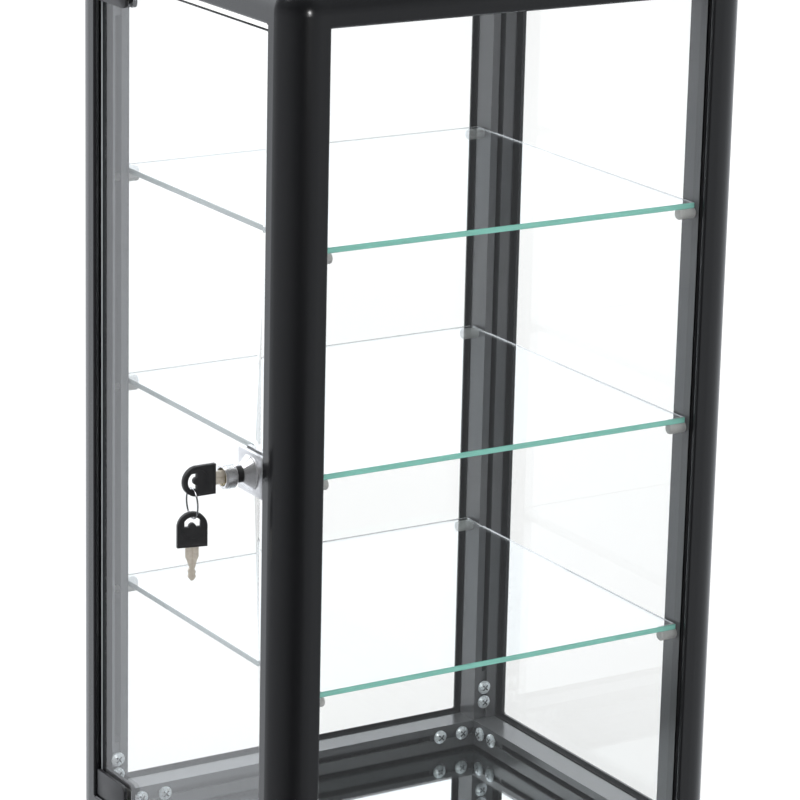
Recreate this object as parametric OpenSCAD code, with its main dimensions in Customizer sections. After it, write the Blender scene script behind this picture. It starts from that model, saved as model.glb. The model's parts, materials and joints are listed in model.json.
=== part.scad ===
// Counter display case for shot glasses: rounded black bar frame, glass on all sides,
// mirror deck, three glass shelves on pegs, and a glass door with a cam lock and two keys.
// Case coordinates: X from the hinge side to the lock side, Y from the door face to the
// back, Z up from the floor. in_place() then moves the whole case so that the origin is
// on the floor under the middle of its envelope, keys included.

/* [Case] */
// Width over the frame
case_w = 305; // [240:1:400]
// Depth over the frame, without the lock and the keys
case_d = 362; // [260:1:460]
// Height of the frame, without the feet
frame_h = 679; // [560:1:800]
// Height of the feet
foot_h = 6; // [3:0.5:10]
// Foot diameter
foot_d = 18; // [12:1:20]

/* [Frame bar] */
// Radius of the rounded outer edge
corner_r = 22; // [12:0.5:24]
// From the outer face to the end of the outer lips
lip_reach = 30.6; // [26:0.1:36]
// Thickness of the outer lips
lip_t = 4; // [2.5:0.1:5]
// Width of the glazing groove
groove_w = 4.6; // [4.4:0.1:6]
// Depth of the glazing groove below the end of the lip
groove_deep = 10; // [7:0.5:12]
// From the outer face to the inner face of the body
body_reach = 29; // [25:0.5:34]
// Radius of the outer edge at the end of a lip
lip_nose = 1.8; // [0.4:0.1:2.2]
// Wall between the hollow and the faces
wall_t = 2; // [1.5:0.1:3]
// Width of the screw slot
slot_w = 5; // [5:0.1:6]
// Middle of the screw slot from the outer face
slot_at = 20.5; // [18:0.5:24]

/* [Corner joints] */
// Length of the spigots inside the bars
spigot_l = 37; // [34:1:50]
// Gap round a spigot
spigot_gap = 0.2; // [0.1:0.05:0.4]
// Screw shank diameter
screw_d = 4.8; // [3.8:0.1:4.8]
// Screw head diameter
screw_head_d = 10.6; // [8:0.1:11]
// Screw head height
screw_head_h = 3; // [2:0.1:3.5]
// Screw length under the head
screw_l = 9; // [6:0.5:12]
// Width of the cross recess in a screw head
cross_w = 1.2; // [0.8:0.1:1.6]
// Screws in a post, above the inner corner
post_screws = [14, 26]; // [10:1:30]
// Screws in a side rail, from the inner corner
side_screws = [11, 31]; // [10:1:32]
// Screws in a front or back rail, from the inner corner
front_screws = [10, 26]; // [10:1:30]

/* [Panes] */
// Thickness of the glass panes
pane_t = 4; // [3:0.1:4.2]
// Thickness of the mirror
mirror_t = 3; // [2.6:0.1:4.2]
// Free edge of a pane in its groove
pane_gap = 0.5; // [0.3:0.1:1]
// How far the black seal shows beyond the lips, outside the pane
seal_show = 0.8; // [0.2:0.1:3]
// How far the black seal stands above the body, inside the pane
seal_inner = 1; // [0.2:0.1:1.5]
// Width of the rubber strips beside the door
strip_w = 3.3; // [2:0.1:6]
// Thickness of the rubber strips beside the door
strip_t = 0.8; // [0.4:0.1:1.2]

/* [Shelves] */
// Shelf thickness
shelf_t = 4; // [3:0.1:6]
// Height of the top of each shelf above the floor
shelf_tops = [198, 352, 507]; // [80:1:620]
// Gap between a shelf and the outer side faces
shelf_side_gap = 13; // [10:0.5:30]
// Gap between a shelf and the posts
shelf_end_gap = 1.6; // [0.8:0.1:5]
// Bevel on the shelf edges
shelf_bevel = 0.35; // [0.2:0.05:0.8]
// Peg diameter
peg_d = 8; // [6:0.1:9]
// Peg length outside the post
peg_out = 13; // [9:0.5:16]
// Diameter of the stem in the post
peg_stem_d = 5; // [4:0.1:6]
// Middle of a peg from the outer side face
peg_x = 17; // [16:0.5:20]

/* [Door] */
// Gap between the door glass and the lips at each side
door_side_gap = 2.4; // [1.5:0.1:4]
// Gap between the door glass and the lips at top and bottom
door_end_gap = 4.9; // [4.5:0.1:8]
// How far the door hangs below the middle of its opening
door_drop = 1; // [0:0.1:1.4]
// Pivot line from the outer hinge side face
pivot_x = 41; // [39:0.5:50]

/* [Hinges] */
// Clamp width
clamp_w = 42; // [30:1:60]
// Clamp height
clamp_h = 19.5; // [14:0.5:30]
// Thickness of the outer clamp plate
clamp_plate = 2.6; // [2:0.1:3]
// Thickness of the web over the edge of the glass
clamp_web = 2; // [1.5:0.1:3]
// Thickness of the pads between clamp and glass
pad_t = 0.4; // [0.2:0.1:1]
// Pivot pin diameter
pin_d = 3; // [2.5:0.1:3.2]
// Radial clearance of a running fit
run_gap = 0.05; // [0.02:0.01:0.1]
// Half width of a hinge socket
socket_half = 9; // [7:0.5:12]

/* [Lock] */
// Lock axis from the outer lock side face
lock_from_side = 49.2; // [46:0.1:60]
// Lock axis above the floor
lock_z = 348.6; // [80:0.1:600]
// Housing width on the glass
housing_w = 32.5; // [28:0.5:40]
// Housing height
housing_h = 29; // [24:0.5:36]
// Housing plate thickness
housing_plate = 3; // [2:0.1:4]
// Rosette diameter
rosette_d = 24.5; // [20:0.1:28]
// Barrel shank diameter
shank_d = 9.8; // [9.6:0.1:12]
// Barrel head diameter
head_d = 17; // [15:0.5:20]
// Rotating plug diameter
plug_d = 8; // [7.6:0.1:8.2]
// Cam reach from the lock axis
cam_reach = 25; // [24:0.1:27]
// Cam thickness
cam_t = 2; // [1.5:0.1:2.4]

/* [Keys] */
// Bow length along the key
bow_l = 24.4; // [20:0.1:28]
// Bow width
bow_w = 20.8; // [18:0.1:22]
// Bow thickness
bow_t = 3.2; // [2.8:0.1:4]
// Wide part of the blade, width
blade_w = 9; // [7:0.1:9.4]
// Wide part of the blade, length outside the bow
blade_shoulder = 7; // [6:0.1:9]
// Length of the blade outside the bow
blade_l = 23.5; // [20:0.1:26]
// Blade thickness
blade_t = 2; // [1.6:0.1:2.2]
// Wire diameter of the key ring
ring_wire = 1.2; // [1:0.1:1.6]
// Middle radius of the key ring
ring_r = 10.2; // [8:0.1:13]
// Turn of the ring about the vertical
ring_yaw = -7; // [-20:1:20]
// Turn of the spare key about the vertical
spare_yaw = -12; // [-45:1:45]

/* [Hidden] */
$fn = 96;
e = 0.01;
black = [0.155, 0.16, 0.17];
chrome = [0.8, 0.8, 0.82];
clear = [0.78, 0.9, 0.87];

// Frame
case_h = foot_h + frame_h;
body = min(body_reach, lip_reach);
groove_end = lip_t + groove_w;
groove_floor = lip_reach - groove_deep;
hollow_0 = groove_end + wall_t;
hollow_1 = body - wall_t;
inner_bar = frame_h - 2 * lip_reach;
screw_hole_d = screw_d + 0.2;

// Panes: the seal fills the groove round a pane of pane_t
seal_side = (groove_w - pane_t) / 2;
pane_0 = lip_t + seal_side;
pane_edge = groove_floor + pane_gap;

// Door: its glass lies in the plane of the side panes' grooves
door_x0 = lip_reach + door_side_gap;
door_x1 = case_w - lip_reach - door_side_gap;
door_z0 = foot_h + lip_reach + door_end_gap - door_drop;
door_z1 = case_h - lip_reach - door_end_gap - door_drop;
door_y0 = pane_0;
door_y1 = pane_0 + pane_t;
pivot_y = (door_y0 + door_y1) / 2;
clamp_y0 = door_y0 - pad_t - clamp_plate;
clamp_y1 = door_y1 + pad_t + clamp_plate;
clamp_z0 = door_z0 - clamp_web;
clamp_z1 = door_z1 + clamp_web;
clamp_r = 4;
set_screw_x = [10, 31];
set_screw_d = 4;
socket_air = 0.1;
pin_deep = 8;

// Lock, along the key axis
lock_x = case_w - lock_from_side;
lock_hole_d = shank_d + 1.2;
housing_y0 = door_y0 - housing_plate;
housing_y1 = door_y1 + housing_plate;
housing_web = 1;
housing_x0 = door_x1 + housing_web - housing_w;
housing_screw_z = housing_h / 2 - 5;
rosette_l = 6.9;
collar_l = 5.3;
rosette_throat = shank_d + 3;
head_y1 = housing_y0 - rosette_l - collar_l;
head_l = 9;
head_y0 = head_y1 - head_l;
recess_d = 12.8;
recess_deep = 2;
plug_y0 = head_y0 + recess_deep;
flange_d = 12;
flange_l = 6;
cam_y0 = slot_at - cam_t / 2;
shank_y1 = cam_y0 - 0.5;
nut_w = 17;
nut_t = 3;
cam_w = 9;
cam_gap = 0.1;

// Keys: the bow of the first key starts where its shoulder meets the plug
bow_y1 = plug_y0 - 0.05 - blade_shoulder;
bow_y0 = bow_y1 - bow_l;
bow_r = bow_w / 2;
bow_mid = bow_l - bow_r;
bit_w = 5.6;
loop_r0 = 2.6;
loop_r1 = 7;
loop_half = 5.6;
loop_r = 4.8;
wire_gap = 0.22;
keyway_gap = 0.05;
ring_y = bow_y1 - bow_mid - 3;
ring_top_z = lock_z - loop_half + ring_wire / 2 + wire_gap;
ring_mid_z = ring_top_z - ring_r;
ring_low_z = ring_mid_z - ring_r;
spare_top_z = ring_low_z + ring_wire / 2 + wire_gap + bow_r - loop_r1;

// The case sits with the middle of its whole envelope over the origin
spare_y0 = ring_y - bow_r * cos(spare_yaw) - bow_t / 2 * abs(sin(spare_yaw));
shift_x = -case_w / 2;
shift_y = -(case_d + min(bow_y0, spare_y0)) / 2;

module in_place() {
    translate([shift_x, shift_y, 0]) children();
}

// Any frame corner: i, j, k are 0 or 1 for the far side along X, Y, Z
module at_corner(i, j, k) {
    translate([i * case_w, j * case_d, foot_h + k * frame_h])
        scale([1 - 2 * i, 1 - 2 * j, 1 - 2 * k]) children();
}

// Turn a bar drawn along Z so that its first and second faces look along other axes
module face_x_along_y() {
    multmatrix([[1, 0, 0, 0], [0, 0, 1, 0], [0, 1, 0, 0]]) children();
}
module face_y_along_x() {
    multmatrix([[0, 0, 1, 0], [1, 0, 0, 0], [0, 1, 0, 0]]) children();
}

// A block between two opposite corner points
module span(a, b) {
    translate(a) cube(b - a);
}

// A cylinder along +Y from y0 to y1
module rod_y(x, z, y0, y1, d) {
    translate([x, y0, z]) rotate([-90, 0, 0]) cylinder(d = d, h = y1 - y0);
}

// Frame bar: rounded outer edge, two glazing grooves, hollow with a screw slot
module bar(l) {
    difference() {
        union() {
            intersection() {
                translate([corner_r, corner_r, 0]) cylinder(r = corner_r, h = l);
                cube([corner_r, corner_r, l]);
            }
            span([corner_r, corner_r, 0], [body, body, l]);
            for (k = [0, 1]) mirror([k, -k, 0]) {
                span([corner_r, 0, 0], [body - lip_nose, corner_r, l]);
                span([body - lip_nose, lip_nose, 0], [body, corner_r, l]);
                span([corner_r, 0, 0], [lip_reach - lip_nose, lip_t, l]);
                span([corner_r, lip_nose, 0], [lip_reach, lip_t, l]);
                translate([lip_reach - lip_nose, lip_nose, 0]) cylinder(r = lip_nose, h = l);
            }
        }
        bar_grooves(-e, l + e);
        span([hollow_0, hollow_0, -e], [hollow_1, hollow_1, l + e]);
        span([hollow_1 - e, slot_at - slot_w / 2, -e], [body + e, slot_at + slot_w / 2, l + e]);
    }
}

module bar_grooves(z0, z1) {
    span([groove_floor, lip_t, z0], [lip_reach + e, groove_end, z1]);
    span([lip_t, groove_floor, z0], [groove_end, lip_reach + e, z1]);
}

module post() {
    translate([0, 0, lip_reach]) bar(inner_bar);
}

// Holes for the stems of the shelf pegs, in the face that looks along Y
module peg_holes() {
    for (top = shelf_tops)
        rod_y(peg_x, peg_z(top), hollow_1 - 1, body + 1, peg_stem_d + 0.2);
}

function peg_z(top) = top - shelf_t - peg_d / 2;

module post_at(i, j) {
    color(black) in_place() difference() {
        at_corner(i, j, 0) post();
        translate([i * case_w, j * case_d, 0]) scale([1 - 2 * i, 1 - 2 * j, 1]) peg_holes();
    }
}
module post_front_left() { post_at(0, 0); }
module post_front_right() { post_at(1, 0); }
module post_back_left() { post_at(0, 1); }
module post_back_right() { post_at(1, 1); }

// Rails: k is 0 at the bottom and 1 at the top
module side_rail(i, k) {
    color(black) in_place() at_corner(i, 0, k) translate([0, lip_reach, 0])
        face_x_along_y() bar(case_d - 2 * lip_reach);
}
module end_rail(j, k) {
    color(black) in_place() at_corner(0, j, k) translate([lip_reach, 0, 0])
        face_y_along_x() bar(case_w - 2 * lip_reach);
}
module bottom_left_rail() { side_rail(0, 0); }
module bottom_right_rail() { side_rail(1, 0); }
module bottom_front_rail() { end_rail(0, 0); }
module bottom_back_rail() { end_rail(1, 0); }
module top_left_rail() { side_rail(0, 1); }
module top_right_rail() { side_rail(1, 1); }
module top_front_rail() { end_rail(0, 1); }
module top_back_rail() { end_rail(1, 1); }

// Corner block: a ball corner that carries on the bars, with a spigot for each
module corner_block() {
    r = corner_r;
    a = lip_reach;
    difference() {
        union() {
            intersection() {
                union() {
                    translate([r, r, r]) sphere(r = r);
                    translate([r, r, r]) cylinder(r = r, h = a - r);
                    translate([r, r, r]) rotate([0, 90, 0]) cylinder(r = r, h = a - r);
                    translate([r, r, r]) rotate([-90, 0, 0]) cylinder(r = r, h = a - r);
                    span([r, r, 0], [a, a, a]);
                    span([r, 0, r], [a, a, a]);
                    span([0, r, r], [a, a, a]);
                }
                cube(a);
            }
            spigot();
            face_x_along_y() spigot();
            face_y_along_x() spigot();
        }
        corner_relief();
        face_x_along_y() corner_relief();
        face_y_along_x() corner_relief();
        corner_groove();
        face_y_along_x() corner_groove();
        multmatrix([[0, 1, 0, 0], [0, 0, 1, 0], [1, 0, 0, 0]]) corner_groove();
        for (s = post_screws) screw_hole([0, 0, body + s]);
        face_x_along_y() for (s = side_screws) screw_hole([0, 0, body + s]);
        face_y_along_x() for (s = front_screws) screw_hole([0, 0, body + s]);
    }
}

module spigot() {
    span([hollow_0 + spigot_gap, hollow_0 + spigot_gap, lip_reach - 1],
        [hollow_1 - spigot_gap, hollow_1 - spigot_gap, lip_reach + spigot_l]);
}

// What one bar direction takes out of the corner: the open square between the lips
// and the end of the screw slot
module corner_relief() {
    a = lip_reach + e;
    span([body, body, lip_t], [a, a, a]);
    span([hollow_1, slot_at - slot_w / 2, body], [body + e, slot_at + slot_w / 2, a]);
}

// The groove for the corner of a pane that stands across Y
module corner_groove() {
    a = lip_reach + e;
    span([groove_floor, lip_t, groove_floor], [a, groove_end, a]);
}

module screw_hole(p) {
    translate(p + [hollow_0, slot_at, 0]) rotate([0, 90, 0])
        cylinder(d = screw_hole_d, h = hollow_1 - hollow_0);
}

module corner_set(k) {
    color(black) in_place() for (i = [0, 1], j = [0, 1]) at_corner(i, j, k) corner_block();
}
module bottom_corners() { corner_set(0); }
module top_corners() { corner_set(1); }

// Cross head screws; the head sits on the face at z = 0 and the shank points to -Z
module pan_screw() {
    difference() {
        union() {
            intersection() {
                cylinder(d = screw_head_d, h = screw_head_h);
                translate([0, 0, screw_head_h - 8.5]) sphere(r = 8.5);
            }
            translate([0, 0, -screw_l]) cylinder(d = screw_d, h = screw_l + e);
        }
        for (a = [45, 135]) translate([0, 0, screw_head_h]) rotate([0, 0, a])
            cube([screw_head_d * 0.55, cross_w, 3], center = true);
    }
}

module bar_screws(places) {
    for (s = places) translate([body, slot_at, body + s]) rotate([0, 90, 0]) pan_screw();
}

module screw_set(k) {
    color([0.78, 0.78, 0.76]) in_place() for (i = [0, 1], j = [0, 1]) at_corner(i, j, k) {
        bar_screws(post_screws);
        face_x_along_y() bar_screws(side_screws);
        face_y_along_x() bar_screws(front_screws);
    }
}
module bottom_frame_screws() { screw_set(0); }
module top_frame_screws() { screw_set(1); }

// Panes, drawn flat from corner point a to corner point b of the case
module glass(a, b) {
    color(clear) in_place() span(a, b);
}
pane_z0 = foot_h + pane_edge;
pane_z1 = case_h - pane_edge;
module left_glass() {
    glass([pane_0, pane_edge, pane_z0], [pane_0 + pane_t, case_d - pane_edge, pane_z1]);
}
module right_glass() {
    glass([case_w - pane_0 - pane_t, pane_edge, pane_z0], [case_w - pane_0, case_d - pane_edge, pane_z1]);
}
module back_glass() {
    glass([pane_edge, case_d - pane_0 - pane_t, pane_z0], [case_w - pane_edge, case_d - pane_0, pane_z1]);
}
module top_glass() {
    glass([pane_edge, pane_edge, case_h - pane_0 - pane_t],
        [case_w - pane_edge, case_d - pane_edge, case_h - pane_0]);
}
module mirror_deck() {
    color([0.86, 0.88, 0.9]) in_place()
        span([pane_edge, pane_edge, foot_h + lip_t],
            [case_w - pane_edge, case_d - pane_edge, foot_h + lip_t + mirror_t]);
}

// Rubber seals: a channel round each pane that fills its groove
module seal_ring(w, h) {
    outside = lip_reach + seal_show;
    inside = min(body + seal_inner, lip_reach);
    difference() {
        span([groove_floor, groove_floor, lip_t], [w - groove_floor, h - groove_floor, groove_end]);
        span([outside, outside, 0], [w - outside, h - outside, groove_end + 1]);
        span([inside, inside, pane_0], [w - inside, h - inside, groove_end + 1]);
        span([pane_edge, pane_edge, pane_0], [w - pane_edge, h - pane_edge, pane_0 + pane_t]);
    }
}
module side_seal() {
    translate([0, 0, foot_h]) multmatrix([[0, 0, 1, 0], [1, 0, 0, 0], [0, 1, 0, 0]])
        seal_ring(case_d, frame_h);
}
module left_seal() {
    color([0.05, 0.05, 0.05]) in_place() side_seal();
}
module right_seal() {
    color([0.05, 0.05, 0.05]) in_place() translate([case_w, 0, 0]) scale([-1, 1, 1]) side_seal();
}
module back_seal() {
    color([0.05, 0.05, 0.05]) in_place() translate([0, case_d, foot_h])
        multmatrix([[1, 0, 0, 0], [0, 0, -1, 0], [0, 1, 0, 0]]) seal_ring(case_w, frame_h);
}
module top_seal() {
    color([0.05, 0.05, 0.05]) in_place() translate([0, 0, case_h]) scale([1, 1, -1])
        seal_ring(case_w, case_d);
}

// Rubber strips on the front posts, which the edges of the door glass pass
module door_side_strips() {
    color([0.05, 0.05, 0.05]) in_place() for (i = [0, 1]) translate([i * case_w, 0, 0]) scale([1 - 2 * i, 1, 1])
        span([body, groove_end, foot_h + lip_reach], [body + strip_t, groove_end + strip_w, case_h - lip_reach]);
}

// Shelves with bevelled edges, on pegs
module shelf(top) {
    x0 = shelf_side_gap;
    x1 = case_w - shelf_side_gap;
    y0 = body + shelf_end_gap;
    y1 = case_d - y0;
    b = shelf_bevel;
    color(clear) in_place() translate([0, 0, top - shelf_t]) intersection() {
        span([x0, y0, 0], [x1, y1, shelf_t]);
        translate([0, case_d, 0]) rotate([90, 0, 0]) linear_extrude(height = case_d)
            polygon([[x0 + b, 0], [x1 - b, 0], [x1, b], [x1, shelf_t - b],
                [x1 - b, shelf_t], [x0 + b, shelf_t], [x0, shelf_t - b], [x0, b]]);
        rotate([90, 0, 90]) linear_extrude(height = case_w)
            polygon([[y0 + b, 0], [y1 - b, 0], [y1, b], [y1, shelf_t - b],
                [y1 - b, shelf_t], [y0 + b, shelf_t], [y0, shelf_t - b], [y0, b]]);
    }
}
module bottom_shelf() { shelf(shelf_tops[0]); }
module middle_shelf() { shelf(shelf_tops[1]); }
module top_shelf() { shelf(shelf_tops[2]); }

module peg() {
    r = peg_d / 2;
    translate([0, -6, 0]) rotate([-90, 0, 0]) cylinder(d = peg_stem_d, h = 6 + e);
    rotate([-90, 0, 0]) rotate_extrude()
        polygon([[0, 0], [r, 0], [r, peg_out - 1.2], [r - 0.4, peg_out - 0.4],
            [r - 1.2, peg_out], [0, peg_out]]);
}
module shelf_pegs() {
    color([0.93, 0.93, 0.9]) in_place() for (i = [0, 1], j = [0, 1], top = shelf_tops)
        translate([i * case_w, j * case_d, 0]) scale([1 - 2 * i, 1 - 2 * j, 1])
            translate([peg_x, body, peg_z(top)]) peg();
}

module feet() {
    at = corner_r + 3;
    color([0.08, 0.08, 0.08]) in_place() for (x = [at, case_w - at], y = [at, case_d - at])
        translate([x, y, 0]) cylinder(d1 = foot_d - 2, d2 = foot_d, h = foot_h);
}

// Hinge sockets in the empty front groove, seen from the bottom; top ones are mirrored
module hinge_socket(k) {
    gap_h = door_end_gap + (2 * k - 1) * door_drop - clamp_web - socket_air;
    difference() {
        union() {
            span([pivot_x - socket_half, lip_t, groove_floor], [pivot_x + socket_half, groove_end, lip_reach]);
            span([pivot_x - socket_half, 2.4, lip_reach], [pivot_x + socket_half, groove_end + 1.6, lip_reach + gap_h]);
        }
        translate([pivot_x, pivot_y, groove_floor + 1])
            cylinder(d = pin_d + 2 * run_gap, h = groove_deep + gap_h);
    }
}
module hinge_sockets() {
    color([0.12, 0.12, 0.12]) in_place() for (k = [0, 1]) at_corner(0, 0, k) hinge_socket(k);
}

// Door
module door_glass() {
    color(clear) in_place() difference() {
        span([door_x0, door_y0, door_z0], [door_x1, door_y1, door_z1]);
        rod_y(lock_x, lock_z, door_y0 - 1, door_y1 + 1, lock_hole_d);
    }
}

// Lower clamp with its rounded upper inner corner; k = 1 gives the upper one
module clamp_face(y0, y1, w) {
    span([door_x0, y0, clamp_z0], [door_x0 + w, y1, clamp_z0 + clamp_h - clamp_r]);
    span([door_x0, y0, clamp_z0], [door_x0 + w - clamp_r, y1, clamp_z0 + clamp_h]);
    rod_y(door_x0 + w - clamp_r, clamp_z0 + clamp_h - clamp_r, y0, y1, 2 * clamp_r);
}
module flip_to(k) {
    translate([0, 0, k * (door_z0 + door_z1)]) scale([1, 1, 1 - 2 * k]) children();
}
module hinge_clamp(k) {
    color(black) in_place() flip_to(k) difference() {
        union() {
            clamp_face(clamp_y0, clamp_y0 + clamp_plate, clamp_w);
            clamp_face(clamp_y1 - clamp_plate, clamp_y1, clamp_w);
            span([door_x0, clamp_y0, clamp_z0], [door_x0 + clamp_w, clamp_y1, door_z0]);
        }
        translate([pivot_x, pivot_y, clamp_z0 - 1]) cylinder(d = pin_d, h = clamp_web + 2);
        for (x = set_screw_x) rod_y(door_x0 + x, clamp_z0 + clamp_h / 2 + 1,
            clamp_y1 - clamp_plate - 1, clamp_y1 + 1, set_screw_d);
    }
}
module bottom_hinge_clamp() { hinge_clamp(0); }
module top_hinge_clamp() { hinge_clamp(1); }

module clamp_pads() {
    color([0.5, 0.5, 0.5]) in_place() for (k = [0, 1]) flip_to(k) {
        z = [door_z0, clamp_z0 + clamp_h - clamp_r];
        span([door_x0, door_y0 - pad_t, z[0]], [door_x0 + clamp_w - 0.5, door_y0, z[1]]);
        span([door_x0, door_y1, z[0]], [door_x0 + clamp_w - 0.5, door_y1 + pad_t, z[1]]);
    }
}

module clamp_screws() {
    l = clamp_plate + 1;
    color([0.25, 0.25, 0.26]) in_place() for (k = [0, 1]) flip_to(k) for (x = set_screw_x)
        translate([door_x0 + x, door_y1 + pad_t, clamp_z0 + clamp_h / 2 + 1]) rotate([-90, 0, 0])
            difference() {
                cylinder(d = set_screw_d, h = l);
                translate([0, 0, l - 1.6]) cylinder(d = 2.3, h = 2, $fn = 6);
            }
}

module hinge_pins() {
    color([0.7, 0.7, 0.7]) in_place() for (k = [0, 1]) flip_to(k)
        translate([pivot_x, pivot_y, clamp_z0 - pin_deep]) cylinder(d = pin_d, h = pin_deep + clamp_web - e);
}

// Lock housing: two plates over the free edge of the door glass
module lock_housing() {
    z0 = lock_z - housing_h / 2;
    x1 = door_x1 + housing_web;
    color([0.82, 0.82, 0.84]) in_place() difference() {
        union() {
            span([housing_x0, housing_y0, z0], [x1, door_y0, z0 + housing_h]);
            span([housing_x0, door_y1, z0], [x1, housing_y1, z0 + housing_h]);
            span([door_x1, housing_y0, z0], [x1, housing_y1, z0 + housing_h]);
        }
        rod_y(lock_x, lock_z, housing_y0 - 1, housing_y1 + 1, shank_d + 0.4);
        for (s = [-1, 1]) rod_y(housing_x0 + 4.5, lock_z + s * housing_screw_z, door_y1 - 1, housing_y1 + 1, 3);
    }
}
module lock_set_screws() {
    color([0.35, 0.35, 0.36]) in_place() for (s = [-1, 1])
        translate([housing_x0 + 4.5, door_y1, lock_z + s * housing_screw_z]) rotate([-90, 0, 0]) difference() {
            cylinder(d = 3, h = housing_plate - 0.2);
            translate([0, 0, 1.4]) cylinder(d = 1.7, h = 3, $fn = 6);
        }
}

// Cone rosette: rim on the housing, narrow end towards the collar
module lock_rosette() {
    r0 = rosette_d / 2;
    r1 = rosette_throat / 2;
    bore = shank_d / 2 + 0.2;
    color(chrome) in_place() translate([lock_x, housing_y0, lock_z]) rotate([90, 0, 0])
        rotate_extrude() polygon([[bore, 0], [r0, 0], [r0, 0.7], [r0 - 0.5, 1.1],
            [r1 + 0.5, rosette_l - 0.6], [r1, rosette_l], [bore, rosette_l]]);
}
module lock_collar() {
    d1 = shank_d + 1.4;
    color([0.05, 0.05, 0.05]) in_place() difference() {
        rod_y(lock_x, lock_z, head_y1, housing_y0 - rosette_l, d1);
        rod_y(lock_x, lock_z, head_y1 - 1, housing_y0, shank_d + 0.4);
    }
}

// Fixed barrel: head with a recess, and a shank through collar, rosette, housing and glass
module lock_barrel() {
    r = head_d / 2;
    color(chrome) in_place() difference() {
        union() {
            translate([lock_x, head_y1, lock_z]) rotate([90, 0, 0]) rotate_extrude()
                polygon([[0, 0], [r - 1.2, 0], [r, 1.2], [r, head_l - 1], [r - 1, head_l], [0, head_l]]);
            rod_y(lock_x, lock_z, head_y1 - e, shank_y1, shank_d);
        }
        rod_y(lock_x, lock_z, head_y0 - 1, plug_y0 + flange_l + 0.1, recess_d);
        rod_y(lock_x, lock_z, head_y0, shank_y1 + 1, plug_d + 2 * run_gap);
    }
}
module lock_nut() {
    color([0.75, 0.75, 0.73]) in_place() difference() {
        translate([lock_x, housing_y1, lock_z]) rotate([-90, 0, 0])
            cylinder(d = nut_w * 1.1547, h = nut_t, $fn = 6);
        rod_y(lock_x, lock_z, housing_y1 - 1, housing_y1 + nut_t + 1, shank_d);
    }
}

// Turning plug: flange in the head's recess, keyway, squared end for the cam
module lock_plug() {
    w = blade_t + 2 * keyway_gap;
    wide = blade_w + 2 * keyway_gap;
    narrow = bit_w + 2 * keyway_gap;
    square = plug_d * 0.7;
    color([0.72, 0.7, 0.62]) in_place() translate([lock_x, 0, lock_z]) difference() {
        union() {
            rod_y(0, 0, plug_y0, plug_y0 + flange_l, flange_d);
            rod_y(0, 0, plug_y0, shank_y1, plug_d);
            span([-square / 2, shank_y1 - e, -square / 2], [square / 2, cam_y0 + cam_t, square / 2]);
        }
        span([-w / 2, plug_y0 - 1, -wide / 2], [w / 2, plug_y0 + 4.6, wide / 2]);
        span([-w / 2, plug_y0, -narrow / 2], [w / 2, plug_y0 + blade_l - blade_shoulder + 1, narrow / 2]);
    }
}

// The cam points up when the lock is open
module lock_cam() {
    square = plug_d * 0.7;
    color([0.75, 0.75, 0.73]) in_place() translate([lock_x, 0, lock_z]) difference() {
        union() {
            rod_y(0, 0, cam_y0, cam_y0 + cam_t, plug_d + 5);
            span([-cam_w / 2, cam_y0, 0], [cam_w / 2, cam_y0 + cam_t, cam_reach - 2]);
            span([-cam_w / 2 + 2, cam_y0, 0], [cam_w / 2 - 2, cam_y0 + cam_t, cam_reach]);
            for (s = [-1, 1]) rod_y(s * (cam_w / 2 - 2), cam_reach - 2, cam_y0, cam_y0 + cam_t, 4);
        }
        span([-square / 2, cam_y0 - 1, -square / 2], [square / 2, cam_y0 + cam_t + 1, square / 2]);
    }
}
module cam_screw() {
    color([0.75, 0.75, 0.73]) in_place() translate([lock_x, cam_y0 + cam_t, lock_z])
        rotate([-90, 0, 0]) difference() {
            cylinder(d = 9, h = 2.4);
            translate([0, 0, 2.4]) for (a = [45, 135]) rotate([0, 0, a]) cube([5, 1.1, 2.4], center = true);
        }
}

// Keys, drawn in the YZ plane: the bow's flat end is at y = 0 and the bow lies to -Y
module bow_shape(inset, t) {
    r = bow_r - inset;
    translate([-t / 2, -bow_mid, 0]) rotate([0, 90, 0]) cylinder(r = r, h = t);
    span([-t / 2, -bow_mid, -r], [t / 2, -inset, r]);
}
// Arched slot for the ring, concentric with the round end of the bow
module bow_loop() {
    intersection() {
        translate([-bow_t, -bow_mid, 0]) rotate([0, 90, 0]) difference() {
            cylinder(r = loop_r1, h = 2 * bow_t);
            translate([0, 0, -1]) cylinder(r = loop_r0, h = 2 * bow_t + 2);
        }
        span([-bow_t, -bow_l, -loop_half], [bow_t, -bow_mid, loop_half]);
    }
}
module key_bow() {
    panel = 0.35;
    difference() {
        bow_shape(0, bow_t);
        bow_loop();
        for (s = [-1, 1]) translate([s * bow_t / 2, 0, 0]) difference() {
            bow_shape(1.6, 2 * panel);
            translate([0, -bow_mid, 0]) rotate([0, 90, 0]) cylinder(r = loop_r1 + 0.9, h = 3, center = true);
        }
        span([-blade_t / 2, -6, -blade_w / 2], [blade_t / 2, 1, blade_w / 2]);
    }
}
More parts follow.
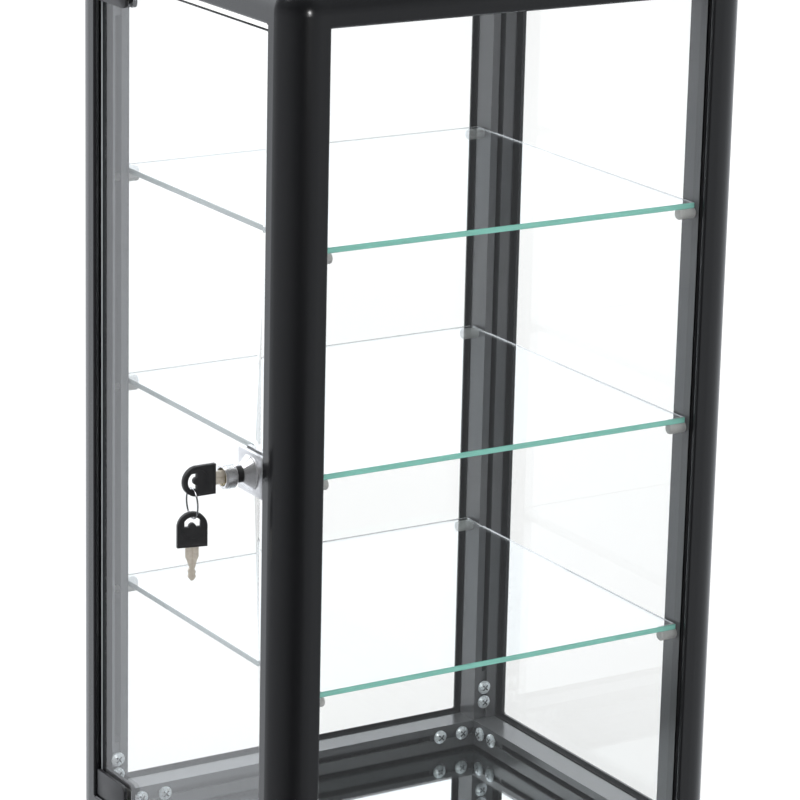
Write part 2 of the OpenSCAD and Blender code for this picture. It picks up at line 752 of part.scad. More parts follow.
// Blade with its tang in the bow, shoulder, neck, two cut flanks and a pointed tip
module key_blade() {
    s = blade_shoulder;
    w = blade_w / 2;
    n = bit_w / 2;
    tip = blade_l;
    translate([-blade_t / 2, 0, 0]) difference() {
        rotate([90, 0, 90]) linear_extrude(height = blade_t)
            polygon([[-6, -w], [s, -w], [s + 2.5, -w + 1.2], [s + 4.4, -n], [s + 6, -n + 0.5],
                [s + 7.5, -n + 1.1], [s + 9.5, -n], [s + 11.5, -n + 0.5], [tip - 2.6, -n], [tip, -0.9],
                [tip, 0.9], [tip - 2.6, n], [s + 12, n - 0.7], [s + 10.4, n], [s + 8.4, n - 1.2],
                [s + 6.4, n - 0.3], [s + 4.4, n], [s + 2.5, w - 1.2], [s, w], [-6, w]]);
        span([blade_t - 0.4, 1, -0.5], [blade_t + 1, tip - 2, 0.5]);
    }
}

// First key, in the plug
module first_key_at() {
    in_place() translate([lock_x, bow_y1, lock_z]) children();
}
module key_bow_in_lock() {
    color([0.11, 0.11, 0.12]) first_key_at() key_bow();
}
module key_blade_in_lock() {
    color([0.66, 0.6, 0.46]) first_key_at() key_blade();
}

module key_ring() {
    color([0.6, 0.6, 0.62]) in_place() translate([lock_x, ring_y, ring_mid_z]) rotate([90, 0, ring_yaw])
        rotate_extrude() translate([ring_r, 0]) circle(d = ring_wire);
}

// Spare key, hanging by the slot in its bow
module spare_key_at() {
    in_place() translate([lock_x, ring_y, spare_top_z - bow_l]) rotate([0, 0, spare_yaw])
        rotate([-90, 0, 0]) children();
}
module spare_key_bow() {
    color([0.11, 0.11, 0.12]) spare_key_at() key_bow();
}
module spare_key_blade() {
    color([0.75, 0.7, 0.64]) spare_key_at() key_blade();
}

post_front_left();
post_front_right();
post_back_left();
post_back_right();
bottom_left_rail();
bottom_right_rail();
bottom_front_rail();
bottom_back_rail();
top_left_rail();
top_right_rail();
top_front_rail();
top_back_rail();
bottom_corners();
top_corners();
bottom_frame_screws();
top_frame_screws();
left_glass();
right_glass();
back_glass();
top_glass();
mirror_deck();
left_seal();
right_seal();
back_seal();
top_seal();
door_side_strips();
bottom_shelf();
middle_shelf();
top_shelf();
shelf_pegs();
feet();
hinge_sockets();
door_glass();
bottom_hinge_clamp();
top_hinge_clamp();
clamp_pads();
clamp_screws();
hinge_pins();
lock_housing();
lock_set_screws();
lock_rosette();
lock_collar();
lock_barrel();
lock_nut();
lock_plug();
lock_cam();
cam_screw();
key_bow_in_lock();
key_blade_in_lock();
key_ring();
spare_key_bow();
spare_key_blade();
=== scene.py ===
import json
import math

import bmesh
import bpy
from mathutils import Matrix, Vector


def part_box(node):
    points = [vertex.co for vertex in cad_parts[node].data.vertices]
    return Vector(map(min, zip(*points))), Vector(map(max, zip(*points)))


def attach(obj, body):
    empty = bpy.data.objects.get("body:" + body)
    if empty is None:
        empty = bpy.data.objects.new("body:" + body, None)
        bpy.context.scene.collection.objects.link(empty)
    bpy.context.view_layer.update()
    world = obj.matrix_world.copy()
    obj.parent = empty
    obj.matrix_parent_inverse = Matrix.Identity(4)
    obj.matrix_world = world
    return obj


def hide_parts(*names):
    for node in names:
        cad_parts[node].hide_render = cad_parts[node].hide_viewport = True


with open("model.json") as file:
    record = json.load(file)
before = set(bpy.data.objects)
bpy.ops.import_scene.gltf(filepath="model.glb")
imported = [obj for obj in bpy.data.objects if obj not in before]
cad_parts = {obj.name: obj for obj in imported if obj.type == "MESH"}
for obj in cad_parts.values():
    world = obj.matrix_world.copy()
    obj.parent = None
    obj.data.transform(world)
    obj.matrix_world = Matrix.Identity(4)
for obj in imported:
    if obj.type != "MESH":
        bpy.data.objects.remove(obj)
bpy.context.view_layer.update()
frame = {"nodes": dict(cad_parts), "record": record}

nodes = frame["nodes"]
scene = bpy.context.scene
MM = 0.001

# The case itself, without its feet or the keys in front of it
case_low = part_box("bottom_corners")[0]
case_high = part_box("top_corners")[1]
case_mid = (case_low + case_high) / 2


# Small helpers for node trees. A value is a number or another node's output.
def feed(tree, socket, value):
    if isinstance(value, (int, float)):
        socket.default_value = value
    else:
        tree.links.new(value, socket)


def maths(tree, operation, one, other):
    node = tree.nodes.new("ShaderNodeMath")
    node.operation = operation
    feed(tree, node.inputs[0], one)
    feed(tree, node.inputs[1], other)
    return node.outputs["Value"]


def ranged(tree, value, low, high, from_low, from_high):
    """The value, taken from one range to another and held at its ends."""
    node = tree.nodes.new("ShaderNodeMapRange")
    node.inputs["From Min"].default_value = from_low
    node.inputs["From Max"].default_value = from_high
    node.inputs["To Min"].default_value = low
    node.inputs["To Max"].default_value = high
    feed(tree, node.inputs["Value"], value)
    return node.outputs["Result"]


def choose(tree, factor, plain, special):
    """The plain shader where factor is 0, and the special one where it is 1."""
    node = tree.nodes.new("ShaderNodeMixShader")
    tree.links.new(factor, node.inputs["Fac"])
    tree.links.new(plain, node.inputs[1])
    tree.links.new(special, node.inputs[2])
    return node.outputs["Shader"]


# Materials. Each finish reads Object coordinates; stretch pulls a pattern out along an axis.
class Finish:
    def __init__(self, name):
        self.material = bpy.data.materials.new(name)
        self.material.use_nodes = True
        self.tree = self.material.node_tree
        self.shader = self.tree.nodes["Principled BSDF"]
        self.place = self.tree.nodes.new("ShaderNodeTexCoord")

    def set(self, **values):
        for name, value in values.items():
            self.shader.inputs[name.replace("_", " ")].default_value = value
        return self

    def link(self, output, socket):
        self.tree.links.new(output, self.shader.inputs[socket])

    def noise(self, size, detail=4.0, stretch=(1, 1, 1)):
        """Noise whose blotches are size metres across, from 0 to 1."""
        mapping = self.tree.nodes.new("ShaderNodeMapping")
        mapping.inputs["Scale"].default_value = [1 / (size * s) for s in stretch]
        pattern = self.tree.nodes.new("ShaderNodeTexNoise")
        pattern.inputs["Scale"].default_value = 1.0
        pattern.inputs["Detail"].default_value = detail
        pattern.inputs["Roughness"].default_value = 0.5
        self.tree.links.new(self.place.outputs["Object"], mapping.inputs["Vector"])
        self.tree.links.new(mapping.outputs["Vector"], pattern.inputs["Vector"])
        return pattern.outputs["Fac"]

    def spread(self, value, low, high, from_low=0.3, from_high=0.7):
        """The value on a new range; noise lies mostly between 0.3 and 0.7."""
        return ranged(self.tree, value, low, high, from_low, from_high)

    def combine(self, operation, one, other):
        return maths(self.tree, operation, one, other)

    def component(self, output, axis):
        parts = self.tree.nodes.new("ShaderNodeSeparateXYZ")
        self.tree.links.new(self.place.outputs[output], parts.inputs["Vector"])
        return parts.outputs[axis]

    def facing(self, axis):
        """How squarely a face stands to an axis, from 0 to 1, either way round."""
        return self.combine("ABSOLUTE", self.component("Normal", axis), 0.0)

    def from_outside(self):
        """0 where a face is seen from inside the glass."""
        face = self.tree.nodes.new("ShaderNodeNewGeometry")
        return self.combine("SUBTRACT", 1.0, face.outputs["Backfacing"])

    def openness(self, reach):
        """1 on open faces, and less down in a recess that is narrower than reach metres."""
        shade = self.tree.nodes.new("ShaderNodeAmbientOcclusion")
        shade.only_local = True
        shade.inputs["Distance"].default_value = reach
        return shade.outputs["AO"]

    def mix_colours(self, value, first, second):
        mix = self.tree.nodes.new("ShaderNodeMix")
        mix.data_type = "RGBA"
        for socket, colour in ((mix.inputs["A"], first), (mix.inputs["B"], second)):
            if isinstance(colour, (tuple, list)):
                socket.default_value = (*colour, 1)
            else:
                self.tree.links.new(colour, socket)
        self.tree.links.new(value, mix.inputs["Factor"])
        return mix.outputs["Result"]

    def relief(self, height, depth):
        bump = self.tree.nodes.new("ShaderNodeBump")
        bump.inputs["Strength"].default_value = 1.0
        bump.inputs["Distance"].default_value = depth
        self.tree.links.new(height, bump.inputs["Height"])
        self.link(bump.outputs["Normal"], "Normal")


LIP_DEPTH = 8 * MM
LIP_BLEND = 2 * MM
RECESS_REACH = 1.5 * MM


def painted_light_inside_mask(made):
    """1 on the faces that look into the case, 0 on its outside."""
    tree = made.tree
    half = (case_high - case_low) / 2 - Vector((LIP_DEPTH, LIP_DEPTH, LIP_DEPTH))
    shifted = tree.nodes.new("ShaderNodeVectorMath")
    shifted.operation = "SUBTRACT"
    shifted.inputs[1].default_value = case_mid
    tree.links.new(made.place.outputs["Object"], shifted.inputs[0])
    size = tree.nodes.new("ShaderNodeVectorMath")
    size.operation = "ABSOLUTE"
    tree.links.new(shifted.outputs["Vector"], size.inputs[0])
    room = tree.nodes.new("ShaderNodeVectorMath")
    room.operation = "SUBTRACT"
    room.inputs[0].default_value = half
    tree.links.new(size.outputs["Vector"], room.inputs[1])
    parts = tree.nodes.new("ShaderNodeSeparateXYZ")
    tree.links.new(room.outputs["Vector"], parts.inputs["Vector"])
    sideways = made.combine("MINIMUM", parts.outputs["X"], parts.outputs["Y"])
    least = made.combine("MINIMUM", sideways, parts.outputs["Z"])
    return made.spread(least, 0.0, 1.0, 0.0, LIP_BLEND)


def surface(name, first, second, rough, blotch, stretch=(1, 1, 1), relief=0.0, relief_size=0.0004,
            inside=None, recess=None, **values):
    """A finish whose colour and roughness vary over blotches, with a fine relief.

    The faces that look into the case can take a painted lighter shade, and the depth of a recess a painted
    shadow.
    """
    made = Finish(name).set(**values)
    patches = made.noise(blotch, stretch=stretch)
    colour = made.mix_colours(made.spread(patches, 0, 1), first, second)
    # Painted light: faces that look into the case get a lighter colour than the outside.
    if inside:
        colour = made.mix_colours(painted_light_inside_mask(made), colour, inside)
    # Painted shade: recesses narrower than RECESS_REACH are darkened towards the recess colour.
    if recess:
        colour = made.mix_colours(made.spread(made.openness(RECESS_REACH), 0, 1, 0.55, 0.9), recess, colour)
    made.link(colour, "Base Color")
    fine = made.noise(relief_size, detail=3, stretch=stretch)
    both = made.combine("ADD", made.combine("MULTIPLY", patches, 0.6), made.combine("MULTIPLY", fine, 0.4))
    made.link(made.spread(both, *rough), "Roughness")
    if relief:
        made.relief(fine, relief)
    return made.material


# Clear glass
CLEAR = (0.992, 0.998, 0.996)
SEAMED_EDGE = (0.30, 0.36, 0.34)
# The door edge's front arris is pale ground glass lightened as a painted highlight; deeper in, the edge is
# painted shade.
DOOR_ARRIS_WITH_HIGHLIGHT = (0.50, 0.52, 0.54)
DOOR_EDGE_SHADE = (0.045, 0.048, 0.052)
ARRIS_DEPTH = (1.3 * MM, 1.6 * MM)
SHELF_TINT = (0.955, 0.985, 0.997)
GREEN_EDGE = (0.30, 0.76, 0.64)
GREEN_ARRIS = (0.16, 0.50, 0.42)
GREY_EDGE_PAINTED_SHADE = (0.34, 0.39, 0.40)


def darker(colour, share):
    return [share * c for c in colour]


def let_lamps_through(made, tint):
    """Lamp light passes a pane unbent, so that what is behind the glass is lit."""
    tree = made.tree
    path = tree.nodes.new("ShaderNodeLightPath")
    clear = tree.nodes.new("ShaderNodeBsdfTransparent")
    clear.inputs["Color"].default_value = (*tint, 1)
    mixed = choose(tree, path.outputs["Is Shadow Ray"], made.shader.outputs["BSDF"], clear.outputs["BSDF"])
    tree.links.new(mixed, tree.nodes["Material Output"].inputs["Surface"])


def clear_with_edge(made, edge, edge_colour):
    """Clear where edge is 0, and ground with the edge's colour where it is 1."""
    smear = made.spread(made.noise(0.05, detail=2), 0, 1)
    clear = made.mix_colours(smear, CLEAR, darker(CLEAR, 0.995))
    made.link(made.mix_colours(edge, clear, edge_colour), "Base Color")
    made.link(made.spread(edge, 1.0, 0.05, 0, 1), "Transmission Weight")
    haze = made.spread(smear, 0.0, 0.004, 0.3, 1.0)
    made.link(made.combine("ADD", haze, made.spread(edge, 0.0, 0.4, 0, 1)), "Roughness")
    let_lamps_through(made, (0.97, 0.98, 0.975))
    return made.material


def pane_finish(name, across):
    """Sheet glass with a polished skin, whose edges lie in the seals; across is its thickness."""
    made = Finish(name).set(IOR=1.03, Coat_Weight=1.0, Coat_IOR=1.5, Coat_Roughness=0.0)
    side = made.spread(made.facing(across), 1.0, 0.0, 0.3, 0.8)
    return clear_with_edge(made, made.combine("MULTIPLY", side, made.from_outside()), SEAMED_EDGE)


def door_finish(name, polish):
    """The door's pane stands free, so its ground edge shows through it: a pale arris lightened by a painted
    highlight, then painted shade deeper in.
    """
    made = Finish(name).set(IOR=1.03, Coat_Weight=polish, Coat_IOR=1.5, Coat_Roughness=0.0)
    side = made.spread(made.facing("Y"), 1.0, 0.0, 0.3, 0.8)
    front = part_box("door_glass")[0].y
    depth = made.spread(made.component("Object", "Y"), 0, 1, *(front + d for d in ARRIS_DEPTH))
    return clear_with_edge(made, side, made.mix_colours(depth, DOOR_ARRIS_WITH_HIGHLIGHT, DOOR_EDGE_SHADE))


def shelf_finish():
    """Clear glass whose ground edges show the green of its depth, with painted shade that greys the edges
    facing front and back.
    """
    made = Finish("shelf_glass").set(IOR=1.5)
    side = made.spread(made.facing("Z"), 1.0, 0.0, 0.75, 0.9)
    edge = made.combine("MULTIPLY", side, made.from_outside())
    streaks = made.spread(made.noise(0.004, detail=3, stretch=(6, 6, 0.4)), 0, 1)
    green = made.mix_colours(streaks, GREEN_EDGE, darker(GREEN_EDGE, 0.85))
    green = made.mix_colours(made.spread(made.facing("Z"), 0, 1, 0.2, 0.6), green, GREEN_ARRIS)
    # Painted shade: the edges that face along Y are greyed.
    colour = made.mix_colours(made.spread(made.facing("Y"), 0, 1, 0.3, 0.7), green, GREY_EDGE_PAINTED_SHADE)
    made.link(made.mix_colours(edge, SHELF_TINT, colour), "Base Color")
    made.link(made.spread(edge, 1.0, 0.25, 0, 1), "Transmission Weight")
    made.link(made.spread(edge, 0.0, 0.12, 0, 1), "Roughness")
    let_lamps_through(made, (0.95, 0.97, 0.96))
    return made.material


def silver_finish():
    made = Finish("mirror_silver").set(Metallic=1.0)
    haze = made.noise(0.03, detail=3)
    made.link(made.mix_colours(made.spread(haze, 0, 1), (0.93, 0.95, 0.95), (0.90, 0.93, 0.93)), "Base Color")
    made.link(made.spread(haze, 0.004, 0.02), "Roughness")
    return made.material


def mirror_front_finish():
    """The clear glass over the silver, which throws a faint second image."""
    made = Finish("mirror_front").set(IOR=1.5, Transmission_Weight=1.0)
    haze = made.noise(0.04, detail=3)
    clear = made.mix_colours(made.spread(haze, 0, 1), (0.975, 0.985, 0.98), (0.965, 0.98, 0.975))
    made.link(clear, "Base Color")
    made.link(made.spread(haze, 0.0, 0.004, 0.45, 0.8), "Roughness")
    let_lamps_through(made, (0.95, 0.96, 0.955))
    return made.material


def anodised(name, stretch):
    """Satin black bar, with a painted lighter shade on the faces that look into the case."""
    return surface(name, (0.010, 0.0105, 0.012), (0.014, 0.0145, 0.016), (0.17, 0.25), 0.012,
                   stretch=stretch, relief=0.000002, relief_size=0.0008,
                   inside=(0.080, 0.082, 0.087), IOR=1.7)


ALONG_X, ALONG_Y, ALONG_Z = (30, 1, 1), (1, 30, 1), (1, 1, 30)
black_x = anodised("black_bar_along_x", ALONG_X)
black_y = anodised("black_bar_along_y", ALONG_Y)
black_z = anodised("black_bar_along_z", ALONG_Z)
black_corner = anodised("black_corner", (1, 1, 1))
side_pane = pane_finish("side_pane", "X")
end_pane = pane_finish("end_pane", "Y")
top_pane = pane_finish("top_pane", "Z")
door_pane = door_finish("door_pane", 1.0)
door_hinge_strip = door_finish("door_hinge_strip", 0.0)
shelf_glass = shelf_finish()
silver = silver_finish()
mirror_front = mirror_front_finish()
rubber = surface("black_rubber", (0.010, 0.010, 0.011), (0.018, 0.018, 0.019), (0.55, 0.75), 0.01,
                 relief=0.00005, relief_size=0.0006)
zinc = surface("zinc_plate", (0.82, 0.86, 0.90), (0.66, 0.70, 0.74), (0.26, 0.40), 0.004,
               relief=0.00001, relief_size=0.0005, Metallic=0.70)
# The screw heads' recess colour is painted shade in their cross recesses.
screw_zinc = surface("screw_zinc", (0.92, 0.97, 1.0), (0.74, 0.79, 0.84), (0.20, 0.34), 0.004,
                     relief=0.00001, relief_size=0.0005, recess=(0.06, 0.065, 0.07), Metallic=0.55)
nylon = surface("off_white_nylon", (0.41, 0.41, 0.40), (0.34, 0.34, 0.335), (0.38, 0.55), 0.006,
                relief=0.00002, relief_size=0.0007)
black_nylon = surface("black_nylon", (0.014, 0.014, 0.015), (0.022, 0.022, 0.022), (0.4, 0.55), 0.006,
                      relief=0.00002, relief_size=0.0007)
clamp_black = surface("clamp_black", (0.030, 0.030, 0.033), (0.040, 0.040, 0.044), (0.32, 0.46), 0.006,
                      relief=0.00003, relief_size=0.0005)
pad_grey = surface("pad_grey", (0.45, 0.45, 0.44), (0.38, 0.38, 0.38), (0.45, 0.6), 0.004,
                   relief=0.00002, relief_size=0.0006)
steel = surface("turned_steel", (0.48, 0.48, 0.48), (0.38, 0.38, 0.39), (0.25, 0.4), 0.003,
                stretch=(1, 1, 0.2), relief=0.00001, Metallic=1.0)
satin = surface("satin_housing", (0.86, 0.86, 0.87), (0.80, 0.80, 0.82), (0.28, 0.4), 0.003,
                stretch=(8, 1, 1), relief=0.00001, relief_size=0.0003, Metallic=0.9)
chrome = surface("chrome", (0.95, 0.95, 0.96), (0.88, 0.88, 0.90), (0.14, 0.26), 0.006,
                 relief=0.000004, relief_size=0.001, Metallic=0.80)
plug_brass = surface("plug_brass", (0.46, 0.40, 0.24), (0.30, 0.26, 0.15), (0.25, 0.45), 0.002,
                     relief=0.00002, Metallic=1.0)
key_nickel = surface("key_nickel", (0.90, 0.83, 0.72), (0.76, 0.69, 0.59), (0.26, 0.42), 0.002,
                     relief=0.00002, relief_size=0.0003, Metallic=0.12)
bow_black = surface("bow_plastic", (0.026, 0.026, 0.028), (0.036, 0.036, 0.039), (0.42, 0.6), 0.003,
                    relief=0.00004, relief_size=0.0004)
wire = surface("bright_wire", (0.60, 0.60, 0.61), (0.48, 0.48, 0.50), (0.15, 0.3), 0.002,
               relief=0.00001, Metallic=1.0)

FINISHES = {
    black_z: ["post_front_left", "post_front_right", "post_back_left", "post_back_right"],
    black_y: ["bottom_left_rail", "bottom_right_rail", "top_left_rail", "top_right_rail"],
    black_x: ["bottom_front_rail", "bottom_back_rail", "top_front_rail", "top_back_rail"],
    black_corner: ["bottom_corners", "top_corners"],
    side_pane: ["left_glass", "right_glass"],
    end_pane: ["back_glass"],
    top_pane: ["top_glass"],
    shelf_glass: ["bottom_shelf", "middle_shelf", "top_shelf"],
    mirror_front: ["mirror_deck"],
    rubber: ["left_seal", "right_seal", "back_seal", "top_seal", "door_side_strips", "feet"],
    pad_grey: ["clamp_pads"],
    screw_zinc: ["bottom_frame_screws", "top_frame_screws"],
    zinc: ["lock_nut", "lock_cam", "cam_screw"],
    nylon: ["shelf_pegs"],
    black_nylon: ["hinge_sockets", "lock_collar"],
    clamp_black: ["bottom_hinge_clamp", "top_hinge_clamp"],
    steel: ["clamp_screws", "hinge_pins", "lock_set_screws"],
    satin: ["lock_housing"],
    chrome: ["lock_rosette", "lock_barrel"],
    plug_brass: ["lock_plug"],
    key_nickel: ["key_blade_in_lock", "spare_key_blade"],
    bow_black: ["key_bow_in_lock", "spare_key_bow"],
    wire: ["key_ring"],
}
for material, names in FINISHES.items():
    for name in names:
        for place in nodes[name].material_slots:
            place.material = material


# Pieces made here
def as_object(name, shape, materials):
    """The shape as an object of its own, at the origin."""
    mesh = bpy.data.meshes.new(name)
    shape.to_mesh(mesh)
    shape.free()
    for material in materials:
        mesh.materials.append(material)
    made = bpy.data.objects.new(name, mesh)
    scene.collection.objects.link(made)
    return made


def body_of(node):
    bodies = frame["record"]["behaviour"]["bodies"]
    return next(body for body, held in bodies.items() if node in held)


# Pieces that stand for a node with its corners eased
SHARP = math.radians(38)
FLAT = math.radians(0.5)
SAME_POINT = 0.001 * MM


def eased_shape(node, width, segments=2):
    """The node's solid, with its sharp edges rounded by width metres."""
    shape = bmesh.new()
    shape.from_mesh(nodes[node].data)
    bmesh.ops.remove_doubles(shape, verts=shape.verts, dist=SAME_POINT)
    bmesh.ops.dissolve_limit(shape, angle_limit=FLAT, verts=shape.verts, edges=shape.edges)
    sharp = [edge for edge in shape.edges if len(edge.link_faces) == 2 and edge.calc_face_angle() > SHARP]
    bmesh.ops.bevel(shape, geom=sharp, offset=width, offset_type="OFFSET", affect="EDGES", segments=segments,
                    profile=0.5, material=-1, clamp_overlap=True)
    return shape


def stand_in(node, shape, materials):
    for face in shape.faces:
        face.smooth = True
    made = as_object(node + "_eased", shape, materials)
    made.data.set_sharp_from_angle(angle=SHARP)
    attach(made, body_of(node))
    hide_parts(node)


EASE = 0.5 * MM
EASED = {"bottom_hinge_clamp": clamp_black, "top_hinge_clamp": clamp_black, "lock_housing": satin,
         "key_bow_in_lock": bow_black, "spare_key_bow": bow_black}
for node, material in EASED.items():
    stand_in(node, eased_shape(node, EASE), [material])

DOOR_CHAMFER = 0.4 * MM
HINGE_STRIP = 8.5 * MM


def door():
    """The door's pane with its arrises taken off, and a strip without sheen beside the hinges."""
    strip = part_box("door_glass")[0].x + HINGE_STRIP
    shape = eased_shape("door_glass", DOOR_CHAMFER, segments=1)
    bmesh.ops.bisect_plane(shape, geom=shape.verts[:] + shape.edges[:] + shape.faces[:],
                           plane_co=(strip, 0, 0), plane_no=(1, 0, 0))
    # The cut leaves the faces in an order that changes from run to run, so they are put in a fixed one
    shape.verts.index_update()
    count = len(shape.verts)
    shape.faces.sort(key=lambda face: face.verts[0].index * count + face.verts[1].index)
    for face in shape.faces:
        face.material_index = 0 if face.calc_center_median().x > strip else 1
    stand_in("door_glass", shape, [door_pane, door_hinge_strip])


door()

SILVER_MARGIN = 0.2 * MM
SILVER_RISE = 0.12 * MM


def mirror_silver():
    """The mirror's silver, just above the underside of its glass."""
    low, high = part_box("mirror_deck")
    size = high - low
    middle = (low + high) / 2
    shape = bmesh.new()
    bmesh.ops.create_grid(shape, x_segments=1, y_segments=1, size=0.5)
    bmesh.ops.scale(shape, vec=(size.x - 2 * SILVER_MARGIN, size.y - 2 * SILVER_MARGIN, 1), verts=shape.verts)
    bmesh.ops.translate(shape, vec=(middle.x, middle.y, low.z + SILVER_RISE), verts=shape.verts)
    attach(as_object("mirror_silver", shape, [silver]), "frame")


mirror_silver()


# Camera, solved from the photograph's straight edges
AZIMUTH, ELEVATION, ROLL = math.radians(31.76), math.radians(16.18), math.radians(1.31)
DISTANCE = 2.68541
LENS = 169.34
AIM_SIDE, AIM_UP = 0.00087, 0.34845
forward = Vector((-math.cos(AZIMUTH) * math.cos(ELEVATION), math.sin(AZIMUTH) * math.cos(ELEVATION),
                  -math.sin(ELEVATION)))
level_forward = Vector((forward.x, forward.y, 0)).normalized()
level_right = Vector((math.sin(AZIMUTH), math.cos(AZIMUTH), 0))
level_up = level_right.cross(forward)
right = math.cos(ROLL) * level_right + math.sin(ROLL) * level_up
up = math.cos(ROLL) * level_up - math.sin(ROLL) * level_right
aim = Vector((case_mid.x, case_mid.y, 0)) + level_right * AIM_SIDE + Vector((0, 0, AIM_UP))

camera = bpy.data.objects.new("camera", bpy.data.cameras.new("camera"))
camera.data.lens = LENS
camera.data.sensor_width = 36
camera.data.clip_end = 50
turn = Matrix((right, up, -forward)).transposed().to_4x4()
camera.matrix_world = Matrix.Translation(aim - forward * DISTANCE) @ turn
scene.collection.objects.link(camera)
scene.camera = camera
scene.view_settings.view_transform = "Standard"


# Studio: pale floor, soft lamps, and a room that is white behind the case and dim by the camera
WHITE = (1, 1, 1, 1)
ROOM_LIGHT = 0.42
REFLECTED_TINT = (0.92, 0.955, 1.0, 1)
BACKDROP_GAIN = 1.35
CEILING = 0.5

# How bright the room is in a reflection, by bearing in degrees from +X
REFLECTED_ROOM = ((-180, 1.2), (-148, 1.2), (-143, 0.60), (-136, 0.44), (-124, 0.36), (-90, 0.29),
                  (-63, 0.17), (-47, 0.08), (-32, 0.02), (-18, 0.04), (-6, 0.09), (4, 0.23),
                  (32, 0.36), (75, 0.52), (100, 0.76), (122, 1.0), (180, 1.2))

# Heights of a reflected ray, as the Z of its direction, over which the backdrop and the ceiling come in
BACKDROP_HEIGHTS = (-0.15, 0.2)
CEILING_HEIGHTS = (0.7, 0.95)


def glossy(tree):
    return tree.nodes.new("ShaderNodeLightPath").outputs["Is Glossy Ray"]


def seen_straight(tree):
    """1 for what the camera sees, also through glass, and 0 in a reflection or for light."""
    path = tree.nodes.new("ShaderNodeLightPath")
    through = maths(tree, "MAXIMUM", path.outputs["Is Camera Ray"], path.outputs["Is Transmission Ray"])
    return maths(tree, "MULTIPLY", through, maths(tree, "LESS_THAN", path.outputs["Glossy Depth"], 0.5))


def blend(tree, factor, plain, special):
    node = tree.nodes.new("ShaderNodeMix")
    tree.links.new(factor, node.inputs["Factor"])
    feed(tree, node.inputs["A"], plain)
    feed(tree, node.inputs["B"], special)
    return node.outputs["Result"]


def room_by_bearing(tree, vector):
    """How bright the reflected room is in the direction of vector."""
    parts = tree.nodes.new("ShaderNodeSeparateXYZ")
    tree.links.new(vector, parts.inputs["Vector"])
    bearing = maths(tree, "ARCTAN2", parts.outputs["Y"], parts.outputs["X"])
    curve = tree.nodes.new("ShaderNodeFloatCurve")
    curve.mapping.clip_max_y = 2.0
    points = curve.mapping.curves[0].points
    points[0].location = (0, REFLECTED_ROOM[0][1])
    points[1].location = (1, REFLECTED_ROOM[-1][1])
    for degrees, bright in REFLECTED_ROOM[1:-1]:
        points.new(degrees / 360 + 0.5, bright)
    for point in points:
        point.handle_type = "VECTOR"
    curve.mapping.update()
    tree.links.new(ranged(tree, bearing, 0, 1, -math.pi, math.pi), curve.inputs["Value"])
    around = curve.outputs["Value"]
    # Above the horizon the white backdrop is brighter and the dim side darker
    backdrop = maths(tree, "MULTIPLY", maths(tree, "POWER", around, 2.0), BACKDROP_GAIN)
    raised = blend(tree, ranged(tree, parts.outputs["Z"], 0, 1, *BACKDROP_HEIGHTS), around, backdrop)
    return blend(tree, ranged(tree, parts.outputs["Z"], 0, 1, *CEILING_HEIGHTS), raised, CEILING)


def background(tree, colour, strength):
    node = tree.nodes.new("ShaderNodeBackground")
    node.inputs["Color"].default_value = colour
    feed(tree, node.inputs["Strength"], strength)
    return node.outputs["Background"]


def room():
    """A white room for the eye, a dim one for light, and the reflected one for gloss."""
    world = bpy.data.worlds.new("room")
    world.use_nodes = True
    scene.world = world
    tree = world.node_tree
    tree.nodes.clear()
    output = tree.nodes.new("ShaderNodeOutputWorld")
    direction = tree.nodes.new("ShaderNodeTexCoord").outputs["Generated"]
    lighting = background(tree, WHITE, ROOM_LIGHT)
    mirrored = background(tree, REFLECTED_TINT, room_by_bearing(tree, direction))
    unseen = choose(tree, glossy(tree), lighting, mirrored)
    shown = choose(tree, seen_straight(tree), unseen, background(tree, WHITE, 1.0))
    tree.links.new(shown, output.inputs["Surface"])


room()

FLOOR_SIZE = 12
FLOOR_LIT = (0.75, 0.75, 0.76, 1)
FLOOR_SEEN = (0.42, 0.42, 0.42, 1)
GLOW_NEAR, GLOW_FAR = 0.68, 0.95
GLOW_REACH = (0.5, 3.5)


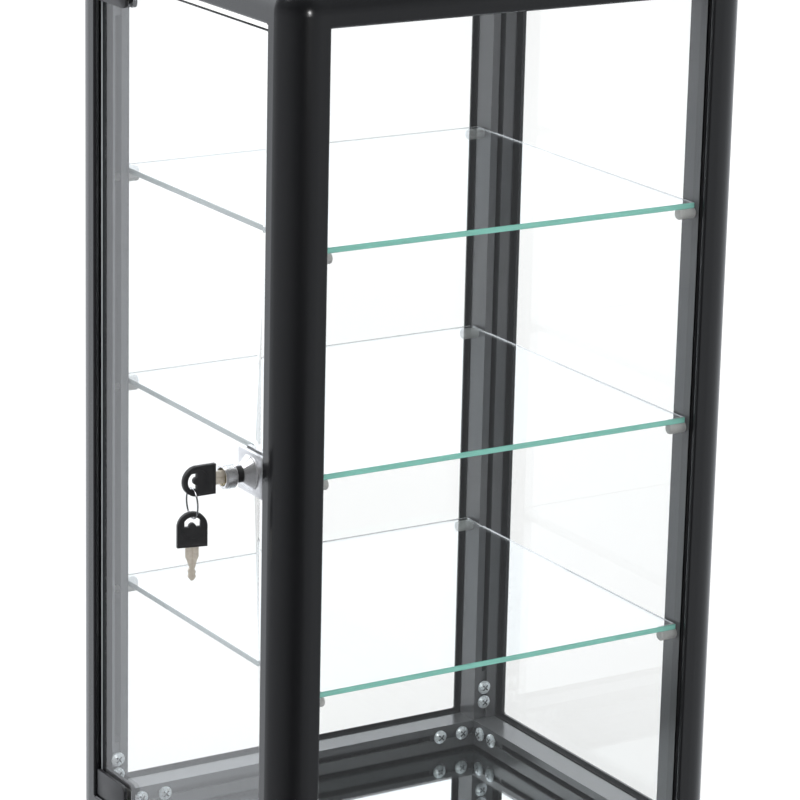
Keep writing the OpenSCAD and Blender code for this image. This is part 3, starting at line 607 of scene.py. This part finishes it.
def floor_white():
    """Diffuse for light, and for the eye partly glowing, so that it is white and keeps the shadow."""
    material = bpy.data.materials.new("floor_white")
    material.use_nodes = True
    tree = material.node_tree
    tree.nodes.clear()
    output = tree.nodes.new("ShaderNodeOutputMaterial")
    place = tree.nodes.new("ShaderNodeTexCoord")
    plain = tree.nodes.new("ShaderNodeBsdfDiffuse")
    plain.inputs["Color"].default_value = FLOOR_LIT
    shaded = tree.nodes.new("ShaderNodeBsdfDiffuse")
    shaded.inputs["Color"].default_value = FLOOR_SEEN
    reach = tree.nodes.new("ShaderNodeVectorMath")
    reach.operation = "LENGTH"
    tree.links.new(place.outputs["Object"], reach.inputs[0])
    glow = tree.nodes.new("ShaderNodeEmission")
    glow.inputs["Color"].default_value = WHITE
    strength = ranged(tree, reach.outputs["Value"], GLOW_NEAR, GLOW_FAR, *GLOW_REACH)
    tree.links.new(strength, glow.inputs["Strength"])
    both = tree.nodes.new("ShaderNodeAddShader")
    tree.links.new(shaded.outputs["BSDF"], both.inputs[0])
    tree.links.new(glow.outputs["Emission"], both.inputs[1])
    passed = tree.nodes.new("ShaderNodeBsdfTransparent")
    unseen = choose(tree, glossy(tree), plain.outputs["BSDF"], passed.outputs["BSDF"])
    shown = choose(tree, seen_straight(tree), unseen, both.outputs["Shader"])
    tree.links.new(shown, output.inputs["Surface"])
    return material


def floor():
    """Reflections pass the floor, so the room shows in the bars."""
    shape = bmesh.new()
    bmesh.ops.create_grid(shape, x_segments=1, y_segments=1, size=FLOOR_SIZE)
    as_object("floor", shape, [floor_white()])


floor()


def softbox(name, place, size, power, target=aim):
    """A square lamp, size metres wide, that points at the target."""
    lamp = bpy.data.lights.new(name, "AREA")
    lamp.shape = "RECTANGLE"
    lamp.size = size
    lamp.size_y = size
    lamp.energy = power
    holder = bpy.data.objects.new(name, lamp)
    holder.matrix_world = (Matrix.Translation(place)
                           @ (target - place).to_track_quat("-Z", "Y").to_matrix().to_4x4())
    scene.collection.objects.link(holder)
    return holder


def from_aim(ahead, to_right, above):
    return aim + level_forward * ahead + level_right * to_right + Vector((0, 0, above))


softbox("softbox_top", from_aim(-0.3, 0, 2.2), 1.6, 28)
softbox("softbox_left", from_aim(-0.4, -1.8, 2.4), 1.4, 18)
softbox("softbox_back", from_aim(2.4, 1.2, 1.2), 1.6, 18)

# A small bright source, seen only as glints on rounded corners and metal
GLINT_BEARING, GLINT_HEIGHT, GLINT_DISTANCE = math.radians(-9), math.radians(3), 2.0
glint_way = Vector((math.cos(GLINT_BEARING), math.sin(GLINT_BEARING), math.tan(GLINT_HEIGHT)))
GLINT_SIZE, GLINT_POWER = 0.06, 4.0
top_corner = Vector((case_high.x, case_low.y, case_high.z))
glint = softbox("glint", top_corner + glint_way * GLINT_DISTANCE, GLINT_SIZE, GLINT_POWER, target=case_high)
glint.visible_diffuse = False
glint.visible_transmission = False
